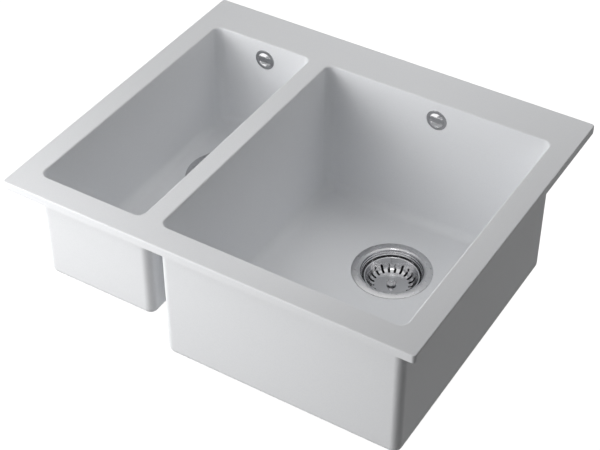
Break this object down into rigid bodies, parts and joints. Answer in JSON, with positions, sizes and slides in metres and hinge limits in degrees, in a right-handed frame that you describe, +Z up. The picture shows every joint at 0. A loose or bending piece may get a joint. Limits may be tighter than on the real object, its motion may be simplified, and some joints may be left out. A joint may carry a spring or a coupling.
{
  "type": "kitchen sink",
  "caption": "Inset composite kitchen sink with a shallow half bowl beside a deep main bowl, each with a lift-out basket strainer waste and a wall overflow.",
  "frame": {"origin": "centre of the rim's outline, on the rim's underside, which is the level of the worktop's surface", "axes": "+Z up out of the bowls, -Y towards the front edge, +X from the half bowl towards the main bowl"},
  "size_m": [0.6, 0.51, 0.3085],
  "materials": {
    "composite": "satin",
    "polished_steel": "polished",
    "chrome": "polished",
    "bright_chrome": "polished",
    "plain_steel": "satin",
    "white_plastic": "satin",
    "black_rubber": "matte",
    "brass": "satin"
  },
  "bodies": {
    "sink": {"sink_basin": "composite", "main_strainer_dish": "polished_steel", "main_flange_gasket": "black_rubber", "main_waste_body": "white_plastic", "main_body_gasket": "black_rubber", "main_screw_bridge": "white_plastic", "main_outlet_tail": "white_plastic", "main_inlet_spigot": "white_plastic", "main_clamp_screw": "plain_steel", "main_screw_insert": "brass", "main_overflow_cover": "chrome", "main_overflow_tube": "bright_chrome", "main_overflow_seal": "black_rubber", "main_overflow_washer": "black_rubber", "main_overflow_nut": "white_plastic", "half_strainer_dish": "polished_steel", "half_flange_gasket": "black_rubber", "half_waste_body": "white_plastic", "half_body_gasket": "black_rubber", "half_screw_bridge": "white_plastic", "half_outlet_tail": "white_plastic", "half_inlet_spigot": "white_plastic", "half_clamp_screw": "plain_steel", "half_screw_insert": "brass", "half_overflow_cover": "chrome", "half_overflow_tube": "bright_chrome", "half_overflow_seal": "black_rubber", "half_overflow_washer": "black_rubber", "half_overflow_nut": "white_plastic"},
    "main_plug": {"main_basket_knob": "polished_steel", "main_rubber_plug": "black_rubber", "main_plug_washer": "plain_steel", "main_stem_nut": "plain_steel"},
    "main_basket": {"main_basket_shell": "polished_steel"},
    "half_plug": {"half_basket_knob": "polished_steel", "half_rubber_plug": "black_rubber", "half_plug_washer": "plain_steel", "half_stem_nut": "plain_steel"},
    "half_basket": {"half_basket_shell": "polished_steel"}
  },
  "joints": [
    {"name": "main_basket_lift", "type": "slide", "parent": "sink", "child": "main_plug", "axis": [0, 0, 1], "range_m": [0, 0.263]},
    {"name": "main_basket_turn", "type": "hinge", "parent": "main_plug", "child": "main_basket", "pos_m": [0.10055, 0.07, -0.2309], "axis": [0, 0, 1], "continuous": true},
    {"name": "half_basket_lift", "type": "slide", "parent": "sink", "child": "half_plug", "axis": [0, 0, 1], "range_m": [0, 0.209]},
    {"name": "half_basket_turn", "type": "hinge", "parent": "half_plug", "child": "half_basket", "pos_m": [-0.1804, 0.07, -0.1769], "axis": [0, 0, 1], "continuous": true}
  ]
}
